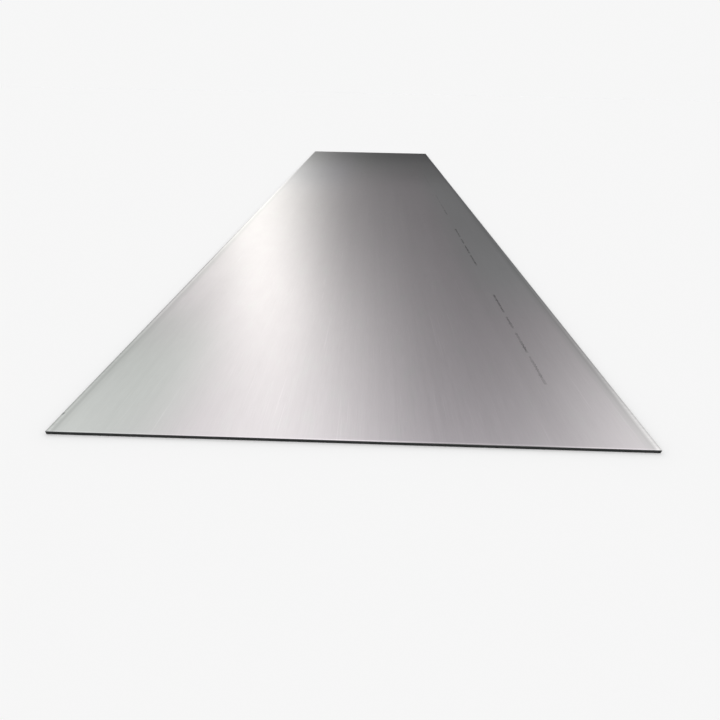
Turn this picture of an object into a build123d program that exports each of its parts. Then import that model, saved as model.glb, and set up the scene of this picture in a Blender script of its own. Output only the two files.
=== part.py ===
from build123d import *
import math
import os

# A hot-rolled steel plate in its stock size, lying flat.
# Frame: X across the width, Y along the rolling direction (the length), Z up.
# Origin: centre of the underside. All sizes in millimetres.

# ---- driving dimensions -------------------------------------------------
LENGTH = 6000.0        # along Y
WIDTH = 1500.0         # along X
THICKNESS = 10.0       # along Z

# Long sides, trimmed by a rotary side shear. The pressure of the knives draws
# the top face down over a narrow strip beside the edge.
SIDE_DROP_WIDTH = 14.0     # strip of the top face that falls towards the edge
SIDE_DROP_ARC = 190.0      # radius of that fall
SIDE_NOSE = 0.8            # radius where the top turns into the cut face
SIDE_BRIGHT = 3.4          # depth of the smooth cut band, from the top face
SIDE_SETBACK = 0.50        # how far the broken band runs back by the underside

# Ends, cropped by a guillotine: a shorter, tighter roll-over.
END_DROP_WIDTH = 5.0
END_DROP_ARC = 26.0
END_NOSE = 0.9
END_BRIGHT = 3.6
END_SETBACK = 0.65

LOWER_BREAK = 0.30         # the lower arris is dressed off, on all four sides


def cut_profile(half, drop_width, drop_arc, nose, bright, setback):
    """Half of the closed outline of a sheared plate, from the centre of the top
    face round the cut edge to the centre of the underside, as (u, z) points
    and arcs. u is measured from the plate's centre."""
    t = THICKNESS
    # big arc: tangent to the top face at the inner end of the strip
    c1 = (half - drop_width, t - drop_arc)
    # nose: tangent inside the big arc and to the vertical cut face
    dx = (half - nose) - c1[0]
    dz = math.sqrt((drop_arc - nose) ** 2 - dx ** 2)
    c2 = (half - nose, c1[1] + dz)
    ux, uz = dx / (drop_arc - nose), dz / (drop_arc - nose)
    meet = (c1[0] + drop_arc * ux, c1[1] + drop_arc * uz)
    # middle points of the two arcs
    a = math.atan2(uz, ux)
    mid_a = (a + math.pi / 2) / 2
    mid1 = (c1[0] + drop_arc * math.cos(mid_a), c1[1] + drop_arc * math.sin(mid_a))
    mid2 = (c2[0] + nose * math.cos(a / 2), c2[1] + nose * math.sin(a / 2))
    top_end = (half - drop_width, t)
    face_top = (half, c2[1])
    face_low = (half, t - bright)
    toe_u = half - setback
    toe = (toe_u, LOWER_BREAK)
    foot = (toe_u - LOWER_BREAK, 0.0)
    return top_end, mid1, meet, mid2, face_top, face_low, toe, foot


def outline(half, *shape):
    """The whole section as a wire's worth of edges in the XY sketch plane,
    X for u and Y for z."""
    top_end, mid1, meet, mid2, face_top, face_low, toe, foot = cut_profile(half, *shape)

    def m(p):  # mirrored to the other side
        return (-p[0], p[1])

    edges = [
        Line(m(top_end), top_end),
        ThreePointArc(top_end, mid1, meet),
        ThreePointArc(meet, mid2, face_top),
        Line(face_top, face_low),
        Line(face_low, toe),
        Line(toe, foot),
        Line(foot, m(foot)),
        Line(m(foot), m(toe)),
        Line(m(toe), m(face_low)),
        Line(m(face_low), m(face_top)),
        ThreePointArc(m(face_top), m(mid2), m(meet)),
        ThreePointArc(m(meet), m(mid1), m(top_end)),
    ]
    return make_face(edges)


across = outline(
    WIDTH / 2, SIDE_DROP_WIDTH, SIDE_DROP_ARC, SIDE_NOSE, SIDE_BRIGHT, SIDE_SETBACK
)
along = outline(
    LENGTH / 2, END_DROP_WIDTH, END_DROP_ARC, END_NOSE, END_BRIGHT, END_SETBACK
)

# The section across the width, run along Y past both ends.
over = 40.0
run_y = extrude(Plane.XZ * across, amount=LENGTH / 2 + over, both=True)
# The section along the length, run along X past both sides.
run_x = extrude(Plane.YZ * along, amount=WIDTH / 2 + over, both=True)

# Where the two runs share material is the plate, cut on all four sides.
steel_plate = run_y & run_x
if not isinstance(steel_plate, Solid):
    steel_plate = steel_plate.solids()[0]
steel_plate.label = "steel_plate"

os.makedirs("parts", exist_ok=True)
export_step(steel_plate, "parts/steel_plate.step")

bb = steel_plate.bounding_box()
print("size", bb.size, "min", bb.min, "max", bb.max)
print("volume mm3", round(steel_plate.volume, 1), "mass kg at 7850:", round(steel_plate.volume * 7.85e-6, 2))
print("faces", len(steel_plate.faces()), "valid", steel_plate.is_valid)
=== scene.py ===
import math

import bmesh
import bpy
import numpy as np
from mathutils import Matrix, Vector


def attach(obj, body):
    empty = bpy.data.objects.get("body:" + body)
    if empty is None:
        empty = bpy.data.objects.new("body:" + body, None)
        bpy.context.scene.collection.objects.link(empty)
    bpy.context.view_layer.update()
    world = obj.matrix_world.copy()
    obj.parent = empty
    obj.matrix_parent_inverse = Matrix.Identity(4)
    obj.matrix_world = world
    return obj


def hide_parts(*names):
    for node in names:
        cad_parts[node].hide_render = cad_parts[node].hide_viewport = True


# A hot-rolled steel plate lying on a pale floor. Metres, +Z up, origin in the
# middle of the underside, +Y along the rolling direction.

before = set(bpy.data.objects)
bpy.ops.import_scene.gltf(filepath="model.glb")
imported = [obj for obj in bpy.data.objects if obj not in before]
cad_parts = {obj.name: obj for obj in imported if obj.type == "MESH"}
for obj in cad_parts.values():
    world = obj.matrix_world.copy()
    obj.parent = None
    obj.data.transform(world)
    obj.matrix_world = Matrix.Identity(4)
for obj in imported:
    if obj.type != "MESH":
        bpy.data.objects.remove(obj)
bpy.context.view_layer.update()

scene = bpy.context.scene
root = scene.collection

# ---------------------------------------------------------------- camera
# Read from the four corners of the plate: 30.2 degrees down, nearly square on.
PITCH, YAW, ROLL = (math.radians(a) for a in (30.2, 0.98, 1.14))
right = Vector((math.cos(YAW), math.sin(YAW), 0.0))
ahead = Vector((-math.cos(PITCH) * math.sin(YAW), math.cos(PITCH) * math.cos(YAW), -math.sin(PITCH)))
up = Vector((-math.sin(PITCH) * math.sin(YAW), math.sin(PITCH) * math.cos(YAW), math.cos(PITCH)))
cam_x = right * math.cos(ROLL) + up * math.sin(ROLL)
cam_y = up * math.cos(ROLL) - right * math.sin(ROLL)
cam_data = bpy.data.cameras.new("camera")
cam_data.sensor_width = 36.0
cam_data.lens = 23.235
cam_data.clip_start, cam_data.clip_end = 0.05, 400.0
camera = bpy.data.objects.new("camera", cam_data)
root.objects.link(camera)
camera.matrix_world = Matrix.Translation((0.034, -3.876, 0.747)) @ Matrix(
    (
        (cam_x.x, cam_y.x, -ahead.x, 0.0),
        (cam_x.y, cam_y.y, -ahead.y, 0.0),
        (cam_x.z, cam_y.z, -ahead.z, 0.0),
        (0.0, 0.0, 0.0, 1.0),
    )
)
scene.camera = camera
scene.view_settings.view_transform = "Standard"
scene.view_settings.look = "None"

PALE, FLOOR = 0.96, 0.965  # the room's light on the floor, and the floor's own tone


# ------------------------------------------------------- node tree helpers
class Tree:
    """Short forms for building a shader tree."""

    def __init__(self, tree):
        self.tree = tree
        tree.nodes.clear()

    def node(self, kind, **settings):
        n = self.tree.nodes.new(kind)
        for k, v in settings.items():
            setattr(n, k, v)
        return n

    def put(self, socket, value):
        if isinstance(value, bpy.types.NodeSocket):
            self.tree.links.new(value, socket)
        elif value is not None:
            socket.default_value = value

    def math(self, op, a, b=None, c=None, clamp=False):
        n = self.node("ShaderNodeMath", operation=op, use_clamp=clamp)
        for s, v in zip(n.inputs, (a, b, c)):
            self.put(s, v)
        return n.outputs[0]

    def add(self, a, b):
        return self.math("ADD", a, b)

    def mul(self, a, b):
        return self.math("MULTIPLY", a, b)

    def span(self, v, lo, hi, a=0.0, b=1.0, smooth=True):
        """v from lo..hi onto a..b, held at both ends."""
        n = self.node("ShaderNodeMapRange", interpolation_type="SMOOTHSTEP" if smooth else "LINEAR")
        for s, x in zip(n.inputs, (v, lo, hi, a, b)):
            self.put(s, x)
        return n.outputs[0]

    def mix(self, f, a, b):
        n = self.node("ShaderNodeMix", data_type="RGBA")
        self.put(n.inputs[0], f)
        self.put(n.inputs[6], a)
        self.put(n.inputs[7], b)
        return n.outputs[2]

    def blend(self, f, a, b):
        n = self.node("ShaderNodeMix", data_type="FLOAT")
        self.put(n.inputs[0], f)
        self.put(n.inputs[2], a)
        self.put(n.inputs[3], b)
        return n.outputs[0]

    def noise(self, vector, scale=1.0, detail=3.0, rough=0.5, distortion=0.0):
        n = self.node("ShaderNodeTexNoise", noise_dimensions="3D")
        self.put(n.inputs["Vector"], vector)
        n.inputs["Scale"].default_value = scale
        n.inputs["Detail"].default_value = detail
        n.inputs["Roughness"].default_value = rough
        n.inputs["Distortion"].default_value = distortion
        return n.outputs[0]

    def stretch(self, vector, scale, offset=(0.0, 0.0, 0.0)):
        n = self.node("ShaderNodeMapping", vector_type="POINT")
        self.put(n.inputs[0], vector)
        n.inputs["Scale"].default_value = scale
        n.inputs["Location"].default_value = offset
        return n.outputs[0]


# ----------------------------------------------------------------- lights
# A pale room with soft panels, all at a great distance: one tall and narrow
# ahead and a little left, one wide behind it, one on either side, a dim one
# square to the side, and the ceiling. The same panels stand behind, turned by
# half a turn. Only the plate's reflections see them: the floor and the backdrop
# see an even pale room.
world = bpy.data.worlds.new("studio")
scene.world = world
world.use_nodes = True
w = Tree(world.node_tree)
direction = w.node("ShaderNodeTexCoord").outputs["Generated"]
xyz = w.node("ShaderNodeSeparateXYZ")
w.put(xyz.inputs[0], direction)
dx, dy, dz = xyz.outputs
height = w.mul(w.math("ARCSINE", dz), 180.0 / math.pi)
height = w.math("MAXIMUM", height, 0.0)


def panel(azimuth, half, low, high, soft, strength, turned=False):
    """A soft panel. azimuth is degrees to the right of +Y."""
    a = math.radians(azimuth + (180.0 if turned else 0.0))
    sa, ca = math.sin(a), math.cos(a)
    # signed angle between the direction's plan and the panel's middle
    along = w.add(w.mul(dx, sa), w.mul(dy, ca))
    across = w.add(w.mul(dx, ca), w.mul(dy, -sa))
    angle = w.mul(w.math("ARCTAN2", across, along), 180.0 / math.pi / half)
    bell = w.math("EXPONENT", w.mul(w.mul(angle, angle), -1.0))
    rise = w.math("DIVIDE", 1.0, w.add(1.0, w.math("EXPONENT", w.mul(w.add(height, -low), -1.0 / soft))))
    fall = w.math("DIVIDE", 1.0, w.add(1.0, w.math("EXPONENT", w.mul(w.add(height, -high), 1.0 / soft))))
    return w.mul(w.mul(bell, strength), w.mul(rise, fall))


PANELS = [
    (-13.6, 6.1, -18.7, 20.1, 5.4, 3.268, (0.985, 1.0, 0.930)),
    (-13.8, 17.0, 17.6, 70.4, 3.0, 0.974, (0.985, 1.0, 0.950)),
    (46.7, 18.8, -18.4, 50.9, 5.0, 1.100, (0.980, 1.0, 0.950)),
    (-49.9, 21.5, -11.1, 50.3, 8.7, 0.900, (0.985, 1.0, 0.950)),
    (90.0, 18.0, -40.0, 45.0, 8.0, 0.450, (1.0, 1.0, 1.0)),
]


def tinted(value, tint):
    n = w.node("ShaderNodeVectorMath", operation="SCALE")
    n.inputs[0].default_value = tint
    w.put(n.inputs["Scale"], value)
    return n.outputs[0]


def summed(a, b):
    n = w.node("ShaderNodeVectorMath", operation="ADD")
    w.put(n.inputs[0], a)
    w.put(n.inputs[1], b)
    return n.outputs[0]


ceiling = w.math("DIVIDE", 1.638, w.add(1.0, w.math("EXPONENT", w.mul(w.add(height, -53.7), -1.0 / 5.9))))
# faintly rosy low down and neutral overhead
hue = w.node("ShaderNodeMix", data_type="VECTOR")
w.put(hue.inputs[0], w.span(height, 56.0, 80.0))
hue.inputs[4].default_value = (1.035, 1.0, 1.045)
hue.inputs[5].default_value = (0.965, 1.0, 0.975)
light = w.node("ShaderNodeVectorMath", operation="SCALE")
w.put(light.inputs[0], hue.outputs[1])
w.put(light.inputs["Scale"], w.add(w.math("MINIMUM", ceiling, 0.95), w.span(height, 3.0, 20.0, 0.095, 0.140)))
light = light.outputs[0]
for *shape, tint in PANELS:
    light = summed(light, tinted(w.add(panel(*shape), panel(*shape, turned=True)), tint))
# Below the horizon there is only a dim ground.
above = w.span(dz, -0.02, 0.01)
dim = w.node("ShaderNodeMix", data_type="VECTOR")
w.put(dim.inputs[0], above)
dim.inputs[4].default_value = (0.10, 0.105, 0.105)
w.put(dim.inputs[5], light)
light = dim.outputs[1]

lit = w.node("ShaderNodeBackground")
w.put(lit.inputs["Color"], light)
pale = w.node("ShaderNodeBackground")
pale.inputs["Color"].default_value = (PALE, PALE, PALE, 1.0)
seen = w.node("ShaderNodeBackground")
seen.inputs["Color"].default_value = (PALE * FLOOR, PALE * FLOOR, PALE * FLOOR, 1.0)
paths = w.node("ShaderNodeLightPath")
first = w.node("ShaderNodeMixShader")
w.put(first.inputs[0], paths.outputs["Is Camera Ray"])
w.put(first.inputs[1], pale.outputs[0])
w.put(first.inputs[2], seen.outputs[0])
which = w.node("ShaderNodeMixShader")
w.put(which.inputs[0], paths.outputs["Is Glossy Ray"])
w.put(which.inputs[1], first.outputs[0])
w.put(which.inputs[2], lit.outputs[0])
w.put(w.node("ShaderNodeOutputWorld").inputs[0], which.outputs[0])

# ------------------------------------------------------------------ floor
floor_mesh = bpy.data.meshes.new("floor")
N = 96
floor_mesh.from_pydata(
    [(120.0 * math.cos(2 * math.pi * i / N), 120.0 * math.sin(2 * math.pi * i / N), -0.0002) for i in range(N)],
    [],
    [tuple(range(N))],
)
floor = bpy.data.objects.new("floor", floor_mesh)
root.objects.link(floor)
floor.visible_glossy = False
floor_look = bpy.data.materials.new("floor")
floor_look.use_nodes = True
t = Tree(floor_look.node_tree)
b = t.node("ShaderNodeBsdfDiffuse")
b.inputs["Color"].default_value = (FLOOR, FLOOR, FLOOR, 1.0)
t.put(t.node("ShaderNodeOutputMaterial").inputs[0], b.outputs[0])
floor_mesh.materials.append(floor_look)

# ------------------------------------------------------------------ plate
# The section of the sheared edges, in millimetres, as in the solid: a strip of
# the top face that falls away, a small nose, the smooth cut band, the broken
# band that runs back, and the dressed lower arris.
T = 10.0
HALF_X, HALF_Y = 750.0, 3000.0


def section(drop_width, drop_arc, nose, bright, setback, lower=0.30):
    """(inset, z) stations from the inner end of the falling strip to the foot."""
    dx = drop_width - nose
    reach = math.sqrt((drop_arc - nose) ** 2 - dx**2)
    zc = T - drop_arc
    nose_z = zc + reach
    turn = math.atan2(reach, dx)
    out = []
    for i in range(7):  # the falling strip
        a = math.pi / 2 + (turn - math.pi / 2) * i / 6
        out.append((drop_width - drop_arc * math.cos(a), zc + drop_arc * math.sin(a)))
    for i in range(1, 5):  # the nose
        a = turn * (1 - i / 4)
        out.append((nose - nose * math.cos(a), nose_z + nose * math.sin(a)))
    low = T - bright
    for i in range(1, 3):  # the smooth cut band
        out.append((0.0, nose_z + (low - nose_z) * i / 2))
    for i in range(1, 7):  # the broken band
        out.append((setback * i / 6, low + (lower - low) * i / 6))
    out.append((setback + lower, 0.0))
    return np.array(out)


SIDE = section(14.0, 190.0, 0.8, 3.4, 0.50)
END = section(5.0, 26.0, 0.9, 3.6, 0.65)
STATIONS = len(SIDE)
BRIGHT_END, BROKEN = 12, range(13, 18)  # station of the band's border, and inside the broken band

CX, CY = 24, 96  # coarse cells of the faces
FX, FY = 10, 6  # edge steps in each coarse cell
INNER_X, INNER_Y = HALF_X - 14.0, HALF_Y - 5.0
nx, ny = CX * FX, CY * FY
xs, ys = np.linspace(-1, 1, nx + 1), np.linspace(-1, 1, ny + 1)


def ring(inset_x, inset_y):
    """Plan positions of one closed ring, anticlockwise from the corner at -X -Y,
    with for each the share that belongs to an end (1) or a side (0)."""
    ax, ay = HALF_X - inset_x, HALF_Y - inset_y
    # away from the corners a ring's points stand square to the edge
    px = np.clip(xs * INNER_X, -ax, ax)
    px[0], px[-1] = -ax, ax
    py = np.clip(ys * INNER_Y, -ay, ay)
    py[0], py[-1] = -ay, ay
    p = [(x, -ay, 1) for x in px[:-1]] + [(ax, y, 0) for y in py[:-1]]
    p += [(x, ay, 1) for x in px[::-1][:-1]] + [(-ax, y, 0) for y in py[::-1][:-1]]
    return np.array(p, float)


RING = 2 * (nx + ny)
CORNERS = {0, nx, nx + ny, 2 * nx + ny}


def ripple(s, waves, seed):
    """A smooth closed wander along the edge, between about -1 and 1. s is 0..1."""
    rng = np.random.default_rng(seed)
    total = np.zeros_like(s)
    for n, a in waves:
        for k in range(3):
            m = int(n * (0.7 + 0.6 * rng.random()))
            total += a / 3 * math.sqrt(2) * np.sin(2 * math.pi * (m * s + rng.random()))
    return total


def heights(d_side, d_end):
    """The top's height where it falls away beside both kinds of edge."""
    zs = np.interp(d_side, SIDE[:7, 0][::-1], SIDE[:7, 1][::-1])
    ze = np.interp(d_end, END[:7, 0][::-1], END[:7, 1][::-1])
    return np.minimum(zs, ze)


verts, rings = [], []


def add_ring(plan, z):
    start = len(verts)
    verts.extend((x, y, h) for (x, y, _), h in zip(plan, z))
    rings.append(np.arange(start, start + RING))


mid = ring(0, 0)
way = np.zeros(RING)
way[1:] = np.cumsum(np.hypot(*(mid[1:, :2] - mid[:-1, :2]).T))
way /= way[-1] + 6.0
border = ripple(way, [(150, 0.55), (420, 0.45), (1000, 0.3)], 3)  # lower end of the cut band
torn = [ripple(way, [(260, 0.5), (700, 0.5), (1100, 0.45)], 20 + i) for i in range(7)]

# two rings just inside keep the flat face flat beside the fall
for grow in (4.0, 1.4):
    plan = ring(14.0 + grow, 5.0 + grow)
    add_ring(plan, np.full(RING, T))
for k in range(STATIONS):
    (ix, zx), (iy, ze) = SIDE[k], END[k]
    plan = ring(ix, iy)
    end = plan[:, 2] > 0.5
    z = np.where(end, ze, zx)
    corner = np.array(sorted(CORNERS))
    if k < 7:
        z = heights(HALF_X - abs(plan[:, 0]), HALF_Y - abs(plan[:, 1]))
    else:
        z[corner] = (zx + ze) / 2
    if k == BRIGHT_END:
        z = z + 0.45 * border
    if k in BROKEN:
        i = k - BRIGHT_END
        z = z + 0.45 * border * (1 - i / 6)
        push = np.maximum(0.0, 0.10 + 0.12 * torn[i])
        nx_, ny_ = np.where(end, 0, np.sign(plan[:, 0])), np.where(end, np.sign(plan[:, 1]), 0)
        push[corner] = 0
        plan[:, 0] -= nx_ * push
        plan[:, 1] -= ny_ * push
    add_ring(plan, z)
# the underside: one ring just inside the arris
plan = ring(14.0, 5.0)
add_ring(plan, np.zeros(RING))

faces, slots, group = [], [], []


def add_face(f, slot, where):
    faces.append(tuple(int(i) for i in f))
    slots.append(slot)
    group.append(where)


TOP, UNDER, SIDE_P, SIDE_N, END_P, END_N = range(6)


def edge_of(i):
    """Which of the four edges the step from ring point i to the next is on."""
    if i < nx:
        return END_N
    if i < nx + ny:
        return SIDE_P
    if i < 2 * nx + ny:
        return END_P
    return SIDE_N


for k in range(len(rings) - 1):
    a, b2 = rings[k], rings[k + 1]
    for i in range(RING):
        j = (i + 1) % RING
        if k < 10:  # the falling strip, down to the nose's middle
            add_face((a[i], b2[i], b2[j], a[j]), 0, TOP)
        elif k >= len(rings) - 2:
            add_face((a[i], b2[i], b2[j], a[j]), 0, UNDER)
        else:
            add_face((a[i], b2[i], b2[j], a[j]), 1, edge_of(i))


def fill(border_ring, z, waves, up):
    """Fills a ring with coarse cells whose outer sides take every ring point."""
    where = TOP if up else UNDER
    lo_x, hi_x = verts[border_ring[0]][0], verts[border_ring[nx]][0]
    lo_y, hi_y = verts[border_ring[0]][1], verts[border_ring[nx + ny]][1]
    gx, gy = np.linspace(lo_x, hi_x, CX + 1), np.linspace(lo_y, hi_y, CY + 1)
    gx[1:-1], gy[1:-1] = (xs * INNER_X)[FX:-1:FX], (ys * INNER_Y)[FY:-1:FY]
    index = -np.ones((CX + 1, CY + 1), int)
    b = list(border_ring)
    south, east = b[: nx + 1], b[nx : nx + ny + 1]
    north, west = b[nx + ny : 2 * nx + ny + 1][::-1], (b[2 * nx + ny :] + [b[0]])[::-1]
    for i in range(CX + 1):
        for j in range(CY + 1):
            if j == 0:
                index[i, j] = south[i * FX]
            elif j == CY:
                index[i, j] = north[i * FX]
            elif i == CX:
                index[i, j] = east[j * FY]
            elif i == 0:
                index[i, j] = west[j * FY]
            else:
                index[i, j] = len(verts)
                verts.append((gx[i], gy[j], z + waves(gx[i], gy[j])))
    for i in range(CX):
        for j in range(CY):
            s = south[i * FX : (i + 1) * FX + 1] if j == 0 else [index[i, j], index[i + 1, j]]
            e = east[j * FY : (j + 1) * FY + 1] if i == CX - 1 else [index[i + 1, j], index[i + 1, j + 1]]
            n = (north[i * FX : (i + 1) * FX + 1] if j == CY - 1 else [index[i, j + 1], index[i + 1, j + 1]])[::-1]
            wst = (west[j * FY : (j + 1) * FY + 1] if i == 0 else [index[i, j], index[i, j + 1]])[::-1]
            loop = list(s) + list(e)[1:] + list(n)[1:] + list(wst)[1:-1]
            add_face(loop if up else loop[::-1], 0, where)


def waves(x, y):
    """The mill's slight waves: they fade out towards the edges."""
    u, v = x / 1000.0, y / 1000.0
    h = (
        0.10 * math.sin(2.1 * v + 0.7 * math.sin(1.3 * u) + 0.4)
        + 0.07 * math.sin(4.7 * v - 1.9 * u + 1.1)
        + 0.06 * math.sin(5.3 * u + 0.9 * v)
        + 0.05 * math.sin(9.1 * v + 3.0 * u + 2.0)
    )
    fade = min(1.0, (INNER_X - abs(x)) / 120.0, (INNER_Y - abs(y)) / 120.0)
    return (h - 0.28) * fade * 0.8


fill(rings[0], T, waves, True)
fill(rings[-1], 0.0, lambda x, y: 0.0, False)

mesh = bpy.data.meshes.new("plate")
mesh.from_pydata([(x / 1000, y / 1000, z / 1000) for x, y, z in verts], [], faces)
mesh.polygons.foreach_set("material_index", slots)
mesh.polygons.foreach_set("use_smooth", [True] * len(faces))
mesh.update()
assert not mesh.validate()

# crisp edges: the four upright corners and the two sides of the lower arris
bm = bmesh.new()
bm.from_mesh(mesh)
for edge in bm.edges:
    if len(edge.link_faces) == 2 and edge.calc_face_angle(0.0) > math.radians(32):
        edge.smooth = False
bm.to_mesh(mesh)
bm.free()

# A map of its own, laid along the plate: the top, the underside and a strip for
# each edge.
uv = mesh.uv_layers.new(name="OFBake")
co = np.array([v.co for v in mesh.vertices])
loops = np.zeros(len(mesh.loops), int)
mesh.loops.foreach_get("vertex_index", loops)
face_of = np.zeros(len(mesh.loops), int)
for n, p in enumerate(mesh.polygons):
    face_of[p.loop_start : p.loop_start + p.loop_total] = n
g = np.array(group)[face_of]
x, y, z = co[loops].T
u, v = np.zeros(len(loops)), np.zeros(len(loops))
along = 0.004 + 0.992 * (y + 3.0) / 6.0
across = (x + 0.75) / 1.5
tall = z / 0.0100
for where, uu, vv in (
    (TOP, along, 0.40 + 0.594 * across),
    (UNDER, along, 0.006 + 0.25 * across),
    (SIDE_P, along, 0.266 + 0.034 * tall),
    (SIDE_N, along, 0.310 + 0.034 * tall),
    (END_P, 0.004 + 0.485 * across, 0.354 + 0.034 * tall),
    (END_N, 0.511 + 0.485 * across, 0.354 + 0.034 * tall),
):
    pick = g == where
    u[pick], v[pick] = uu[pick], vv[pick]
uv.data.foreach_set("uv", np.stack([u, v], 1).astype(np.float32).ravel())

plate = bpy.data.objects.new("plate", mesh)
root.objects.link(plate)
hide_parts("steel_plate")
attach(plate, "root")


# --------------------------------------------------------------- materials
def place(t):
    """Position in metres and its three parts."""
    p = t.node("ShaderNodeTexCoord").outputs["Object"]
    s = t.node("ShaderNodeSeparateXYZ")
    t.put(s.inputs[0], p)
    return p, *s.outputs


def curve(t, value, stops):
    """value looked up in a row of (position, grey) stops, eased between."""
    n = t.node("ShaderNodeValToRGB")
    ramp = n.color_ramp
    ramp.interpolation = "EASE"
    for k, (at, grey) in ((0, stops[0]), (1, stops[-1])):
        ramp.elements[k].position, ramp.elements[k].color = at, (grey, grey, grey, 1.0)
    for at, grey in stops[1:-1]:
        ramp.elements.new(at).color = (grey, grey, grey, 1.0)
    t.put(n.inputs[0], value)
    return n.outputs[0]


def mill_steel():
    m = bpy.data.materials.new("mill_steel")
    m.use_nodes = True
    t = Tree(m.node_tree)
    p, px, py, pz = place(t)
    side = t.math("SUBTRACT", 0.75, t.math("ABSOLUTE", px))  # distance from a long edge
    end = t.math("SUBTRACT", 3.0, t.math("ABSOLUTE", py))

    # lengthwise marks of the rolls, from broad bands to hairlines
    bands = t.noise(t.stretch(p, (9.0, 0.22, 3.0)), 1.0, 3.0, 0.55)
    lines = t.noise(t.stretch(p, (75.0, 0.9, 3.0), (3.1, 0.2, 0.0)), 1.0, 4.0, 0.6)
    grain = t.noise(t.stretch(p, (620.0, 14.0, 3.0), (1.7, 5.0, 0.0)), 1.0, 3.0, 0.6)
    # uneven oxide: broad clouds and a finer mottle
    cloud = t.noise(t.stretch(p, (1.3, 0.75, 1.0), (0.4, 1.3, 0.0)), 1.0, 3.0, 0.5, 0.4)
    mottle = t.noise(t.stretch(p, (16.0, 7.0, 1.0), (7.0, 2.0, 0.0)), 1.0, 5.0, 0.62)

    tone = t.add(
        t.add(
            t.add(t.span(bands, 0.2, 0.8, -0.022, 0.022, False), t.span(lines, 0.2, 0.8, -0.020, 0.020, False)),
            t.add(t.span(grain, 0.2, 0.8, -0.045, 0.045, False), t.span(mottle, 0.2, 0.8, -0.016, 0.016, False)),
        ),
        t.span(cloud, 0.2, 0.8, -0.02, 0.02, False),
    )
    tone = t.add(tone, 1.0)
    # a few hairline scratches from handling
    slid = t.noise(t.stretch(p, (210.0, 2.3, 1.0), (11.0, 3.0, 0.0)), 1.0, 1.0, 0.5, 0.3)
    across = t.noise(t.stretch(p, (26.0, 150.0, 1.0), (2.0, 8.0, 0.0)), 1.0, 1.0, 0.5, 0.5)
    scratch = t.math("MAXIMUM", t.span(slid, 0.70, 0.75), t.mul(t.span(across, 0.76, 0.80), 0.6))
    tone = t.add(tone, t.mul(scratch, 0.07))

    # the strip beside each long edge, where the shear has drawn the face down: partly its own tone and knife marks,
    # partly painted reflection, a lighter band over the fall and a darker line just inside it
    wander = t.noise(t.stretch(p, (2.0, 2.6, 1.0), (0.0, 9.0, 0.0)), 1.0, 2.0, 0.5)
    strip_at = t.math("DIVIDE", side, t.span(wander, 0.25, 0.75, 0.045, 0.055, False))
    strip_marks_and_painted_light = curve(
        t, strip_at, [(0.0, 0.40), (0.05, 0.47), (0.17, 0.60), (0.27, 0.52), (0.36, 0.455), (0.55, 0.468), (0.85, 0.50)]
    )
    # short marks of the knives across that strip
    knife = t.noise(t.stretch(p, (30.0, 95.0, 1.0), (0.0, 4.0, 0.0)), 1.0, 2.0, 0.5)
    near = t.span(side, 0.014, 0.010)
    strip_marks_and_painted_light = t.add(strip_marks_and_painted_light, t.mul(near, t.span(knife, 0.3, 0.7, -0.035, 0.035, False)))
    tone = t.mul(tone, t.mul(strip_marks_and_painted_light, 2.0))
    # darker beside the edge on the right, and on the left over the last half metre
    edge_darkening = t.blend(t.math("GREATER_THAN", px, 0.0), t.span(py, -2.35, -2.75, 0.0, 0.18), t.span(py, -2.95, -2.6, 0.0, 0.17))
    tone = t.mul(tone, t.math("SUBTRACT", 1.0, t.mul(edge_darkening, t.span(side, 0.026, 0.012))))
    # the near end's crest, scuffed for a stretch right of the middle
    scuff = t.mul(t.span(t.math("ABSOLUTE", t.add(px, -0.33)), 0.27, 0.10), t.span(py, -2.9975, -2.9988))
    below = t.span(pz, 0.004, 0.001)
    tone = t.mul(tone, t.math("SUBTRACT", 1.0, t.mul(t.mul(scuff, t.blend(below, 1.0, 0.0)), 0.5)))

    # painted shade: the far end is darker, where the reflection fades along the plate, and right of the middle a little
    # darker from the middle of the length on; the underside duller
    far_painted_shade = t.span(t.add(py, t.span(cloud, 0.3, 0.7, -0.2, 0.2, False)), 0.1, 1.75, 1.0, 0.76)
    far_painted_shade = t.mul(far_painted_shade, t.span(py, 1.3, 2.97, 1.0, 0.55))
    far_painted_shade = t.mul(far_painted_shade, t.math("SUBTRACT", 1.0, t.mul(t.mul(t.span(px, -0.35, 0.35), t.span(py, -0.6, 1.2)), 0.10)))
    tone = t.mul(tone, t.blend(below, far_painted_shade, 0.9))
    # and the near corners a little brighter: a painted highlight, standing in for the reflection there
    corner = t.mul(t.span(t.math("ABSOLUTE", px), 0.50, 0.74), t.span(py, -2.45, -3.0))
    tone = t.mul(tone, t.add(1.0, t.mul(corner, 0.10)))
    # a painted highlight: a paler patch beside the left edge, a metre from the near end, standing in for a reflection
    patch = t.mul(t.span(t.math("ABSOLUTE", t.add(py, 2.03)), 0.42, 0.12), t.span(px, -0.58, -0.70))
    tone = t.mul(tone, t.add(1.0, t.mul(patch, 0.085)))
    # a small nick in the left edge, near the corner
    nick = t.math(
        "SQRT",
        t.add(
            t.math("POWER", t.math("DIVIDE", t.add(px, 0.747), 0.0050), 2.0),
            t.math("POWER", t.math("DIVIDE", t.add(py, 2.928), 0.0062), 2.0),
        ),
    )
    nick = t.span(t.add(nick, t.span(mottle, 0.2, 0.8, -0.3, 0.3, False)), 1.2, 0.6)
    tone = t.mul(tone, t.math("SUBTRACT", 1.0, t.mul(t.mul(nick, t.span(pz, 0.004, 0.005)), 0.38)))
    tone = t.mul(tone, t.blend(below, 1.0, 0.80))

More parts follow.
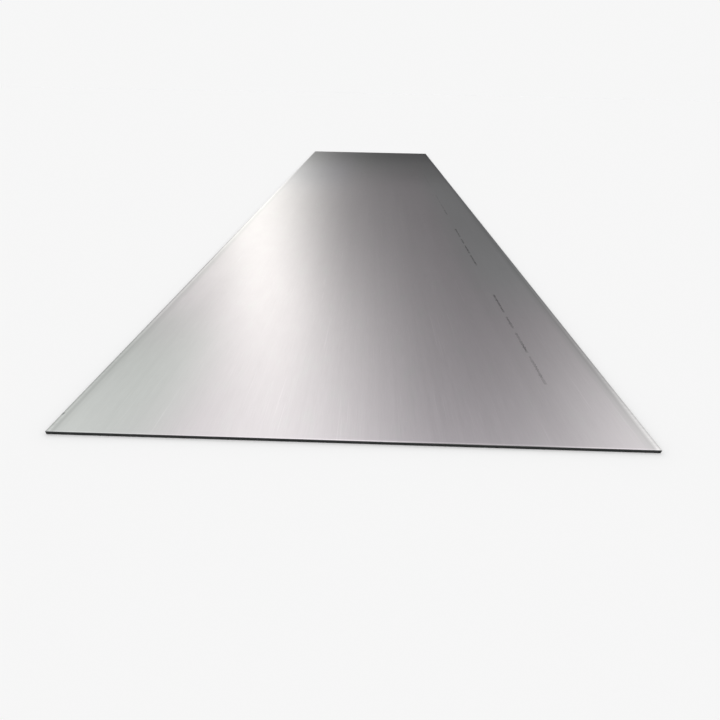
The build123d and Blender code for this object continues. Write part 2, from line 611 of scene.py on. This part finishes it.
    # mauve grey, neutral at the far end and cooler on its left, greenish at the
    # near left corner
    to_corner = t.math(
        "SQRT",
        t.add(
            t.math("POWER", t.math("DIVIDE", t.add(px, 0.78), 0.42), 2.0),
            t.math("POWER", t.math("DIVIDE", t.add(py, 2.85), 0.75), 2.0),
        ),
    )
    green = t.mul(t.span(t.add(to_corner, t.span(cloud, 0.3, 0.7, -0.3, 0.3, False)), 1.1, 0.3), 0.8)
    green = t.math("MAXIMUM", green, t.mul(t.span(mottle, 0.52, 0.72), 0.25))
    green = t.math("MAXIMUM", green, t.mul(t.span(side, 0.05, 0.012), 0.30))
    neutral = t.math("MAXIMUM", t.span(py, 0.2, 2.6), t.mul(t.span(px, 0.40, 0.62), t.span(py, -2.4, -1.7)))
    tint = t.mix(neutral, (0.619, 0.587, 0.612, 1.0), (0.592, 0.596, 0.606, 1.0))
    cool = t.mul(t.span(px, -0.02, -0.34), t.span(py, -0.3, 1.3))
    tint = t.mix(t.mul(cool, 0.85), tint, (0.606, 0.590, 0.638, 1.0))
    tint = t.mix(t.mul(green, t.span(py, 1.2, -0.6)), tint, (0.576, 0.605, 0.592, 1.0))

    # a printed row of plain ticks along the right side, in spaced groups
    row = t.math("ABSOLUTE", t.add(px, -0.5595))
    turn = t.math("FRACT", t.math("DIVIDE", t.add(py, 2.722), 1.07))  # 0..1 along one print
    at = t.mul(turn, 1.07)
    words = None
    for a, z2 in ((0.0, 0.165), (0.19, 0.335), (0.37, 0.47), (0.51, 0.69)):
        one = t.mul(t.math("GREATER_THAN", at, a), t.math("LESS_THAN", at, z2))
        words = one if words is None else t.math("MAXIMUM", words, one)
    cell = t.math("DIVIDE", py, 0.0050)
    white = t.node("ShaderNodeTexWhiteNoise", noise_dimensions="1D")
    t.put(white.inputs["W"], t.math("FLOOR", cell))
    reach = t.span(white.outputs[0], 0.0, 1.0, 0.0026, 0.0054, False)  # ticks of uneven height
    load = t.node("ShaderNodeTexWhiteNoise", noise_dimensions="1D")  # and of uneven darkness
    t.put(load.inputs["W"], t.add(t.math("FLOOR", t.mul(cell, 0.24)), 0.5))
    tick = t.mul(t.math("LESS_THAN", t.math("FRACT", cell), 0.54), t.math("LESS_THAN", row, reach))
    worn = t.span(t.noise(t.stretch(p, (40.0, 11.0, 1.0)), 1.0, 3.0, 0.6), 0.30, 0.55, 0.45, 1.0)
    ink = t.mul(t.mul(words, tick), t.mul(worn, t.blend(below, 1.0, 0.0)))
    ink = t.mul(ink, t.span(load.outputs[0], 0.0, 1.0, 0.60, 1.35, False))
    ink = t.mul(t.mul(ink, t.span(py, -2.72, -2.3, 0.72, 1.0)), t.span(py, -1.2, 0.4, 1.0, 0.2))

    colour = t.node("ShaderNodeVectorMath", operation="SCALE")
    t.put(colour.inputs[0], tint)
    t.put(colour.inputs["Scale"], tone)
    painted = t.mix(t.math("MINIMUM", t.mul(ink, 0.95), 1.0), colour.outputs[0], (0.055, 0.052, 0.056, 1.0))

    rough = t.add(
        t.add(t.span(lines, 0.2, 0.8, -0.012, 0.012, False), t.span(grain, 0.2, 0.8, -0.014, 0.014, False)),
        t.add(t.span(mottle, 0.2, 0.8, 0.012, -0.012, False), t.span(cloud, 0.2, 0.8, 0.008, -0.008, False)),
    )
    rough = t.add(rough, t.blend(below, 0.302, 0.40))
    rough = t.math("MAXIMUM", t.add(rough, t.mul(ink, 0.12)), 0.282)

    bump = t.node("ShaderNodeBump")
    bump.inputs["Strength"].default_value = 0.3
    bump.inputs["Distance"].default_value = 0.0004
    relief = t.add(t.mul(grain, 0.35), t.add(t.mul(mottle, 0.4), t.mul(t.mul(knife, near), 0.6)))
    relief = t.math("SUBTRACT", relief, t.mul(scratch, 0.15))
    t.put(bump.inputs["Height"], relief)

    b = t.node("ShaderNodeBsdfPrincipled")
    b.inputs["Metallic"].default_value = 1.0
    b.inputs["Specular Tint"].default_value = (0.6, 0.6, 0.6, 1.0)
    t.put(b.inputs["Base Color"], painted)
    t.put(b.inputs["Roughness"], rough)
    t.put(b.inputs["Normal"], bump.outputs[0])
    t.put(t.node("ShaderNodeOutputMaterial").inputs[0], b.outputs[0])
    return m


def cut_edge():
    m = bpy.data.materials.new("cut_edge")
    m.use_nodes = True
    t = Tree(m.node_tree)
    p, px, py, pz = place(t)
    # upright score lines in the smooth band, coarse tearing below it
    score = t.noise(t.stretch(p, (420.0, 420.0, 30.0)), 1.0, 3.0, 0.6)
    tear = t.noise(t.stretch(p, (330.0, 330.0, 700.0), (2.0, 1.0, 0.0)), 1.0, 5.0, 0.65)
    patch = t.noise(t.stretch(p, (6.0, 6.0, 60.0), (5.0, 3.0, 0.0)), 1.0, 4.0, 0.6)
    line = t.span(t.noise(t.stretch(p, (24.0, 24.0, 1.0)), 1.0, 3.0, 0.55), 0.3, 0.7, -0.0005, 0.0005, False)
    broken = t.span(t.add(pz, line), 0.0068, 0.0062)  # 0 on the smooth band, 1 below
    smooth_tone = t.add(t.span(score, 0.25, 0.75, -0.03, 0.03, False), 0.30)
    torn_tone = t.add(t.span(tear, 0.25, 0.75, -0.07, 0.07, False), 0.17)
    tone = t.blend(broken, smooth_tone, torn_tone)
    tone = t.mul(tone, t.span(patch, 0.25, 0.75, 0.80, 1.15, False))
    tone = t.mul(tone, t.span(pz, 0.0, 0.0012, 0.75, 1.0))
    colour = t.node("ShaderNodeVectorMath", operation="SCALE")
    t.put(colour.inputs[0], t.mix(t.span(patch, 0.35, 0.65), (0.95, 1.0, 0.985, 1.0), (1.01, 0.985, 1.0, 1.0)))
    t.put(colour.inputs["Scale"], tone)
    rough = t.blend(broken, 0.38, t.add(t.span(tear, 0.25, 0.75, -0.06, 0.06, False), 0.58))
    bump = t.node("ShaderNodeBump")
    bump.inputs["Strength"].default_value = 0.6
    bump.inputs["Distance"].default_value = 0.0004
    t.put(bump.inputs["Height"], t.blend(broken, t.mul(score, 0.25), tear))
    b = t.node("ShaderNodeBsdfPrincipled")
    b.inputs["Metallic"].default_value = 1.0
    b.inputs["Specular Tint"].default_value = (0.6, 0.6, 0.6, 1.0)
    t.put(b.inputs["Base Color"], colour.outputs[0])
    t.put(b.inputs["Roughness"], rough)
    t.put(b.inputs["Normal"], bump.outputs[0])
    t.put(t.node("ShaderNodeOutputMaterial").inputs[0], b.outputs[0])
    return m


mesh.materials.append(mill_steel())
mesh.materials.append(cut_edge())
